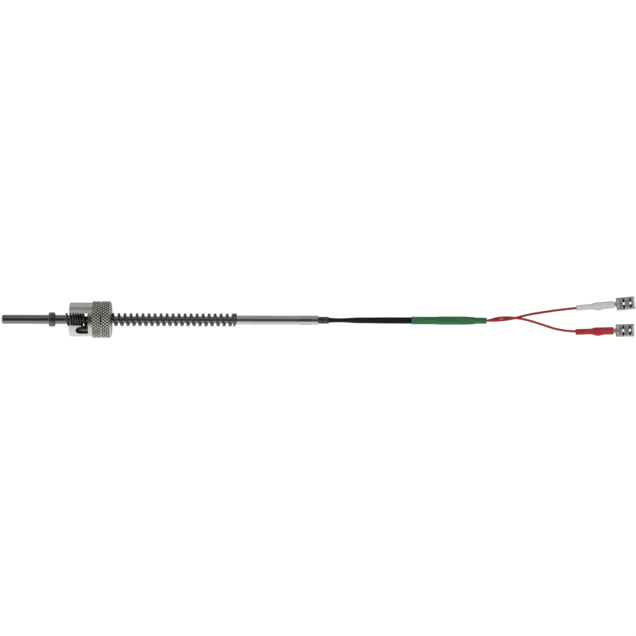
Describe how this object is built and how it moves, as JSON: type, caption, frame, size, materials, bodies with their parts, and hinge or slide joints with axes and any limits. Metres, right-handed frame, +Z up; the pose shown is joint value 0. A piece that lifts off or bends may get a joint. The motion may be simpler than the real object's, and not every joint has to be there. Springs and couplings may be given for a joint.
{
  "type": "bayonet thermocouple",
  "caption": "Spring-loaded bayonet thermocouple: round steel probe with stop collar, knurled slotted cap on a long spring, crimped rear tube, short cable and flat-tab receptacles.",
  "frame": {"origin": "centre of the stop collar's front face, on the probe's axis, where the inserted tube ends and the collar seats", "axes": "-X out of the closed sensing tip, +X along the probe towards the cable and leads, +Z up from the surface it lies on"},
  "size_m": [0.2848, 0.0193, 0.0166],
  "materials": {
    "dark_steel": "dark burnished stainless steel",
    "spring_steel": "oiled dark spring steel",
    "bright_steel": "polished stainless steel",
    "plated_brass": "bright nickel plate on brass",
    "tinned_brass": "tinned, satin",
    "powder": "packed white powder",
    "ceramic_bead": "matt ceramic",
    "wire_alloy": "bright drawn wire",
    "copper_strand": "bare stranded copper alloy",
    "potting": "cured epoxy",
    "clear_sleeve": "translucent grey-blue",
    "black_jacket": "black, slightly glossy",
    "green_shrink": "green heat-shrink",
    "red_insulation": "red, slightly glossy",
    "red_sleeving": "red soft sleeve",
    "white_sleeving": "white soft sleeve"
  },
  "bodies": {
    "probe": {"front_tube": "dark_steel", "stop_collar": "dark_steel", "core_sheath": "dark_steel", "hot_junction": "wire_alloy", "mineral_insulation": "powder", "thermowire_positive": "wire_alloy", "thermowire_negative": "wire_alloy", "rear_tube": "bright_steel", "potting_compound": "potting", "joint_insulator": "ceramic_bead", "cable_end_sleeve": "clear_sleeve", "cable_jacket": "black_jacket", "cable_conductor_positive": "copper_strand", "cable_conductor_negative": "copper_strand", "green_joint_sleeve": "green_shrink", "splice_barrel_positive": "tinned_brass", "splice_barrel_negative": "tinned_brass", "white_branch_lead": "red_insulation", "red_branch_lead": "red_insulation", "white_branch_strands": "copper_strand", "red_branch_strands": "copper_strand", "white_branch_boot": "white_sleeving", "red_branch_boot": "red_sleeving", "white_branch_receptacle": "tinned_brass", "red_branch_receptacle": "tinned_brass"},
    "spring": {"compression_spring": "spring_steel"},
    "cap": {"bayonet_cap": "plated_brass"}
  },
  "joints": [
    {"name": "cap_travel", "type": "slide", "parent": "probe", "child": "spring", "axis": [1, 0, 0], "range_m": [-0.003, 0.004], "stiffness_N_per_m": 8000, "deforming": ["compression_spring"]},
    {"name": "cap_turn", "type": "hinge", "parent": "spring", "child": "cap", "pos_m": [0.0246, 0, 0], "axis": [1, 0, 0], "continuous": true}
  ]
}
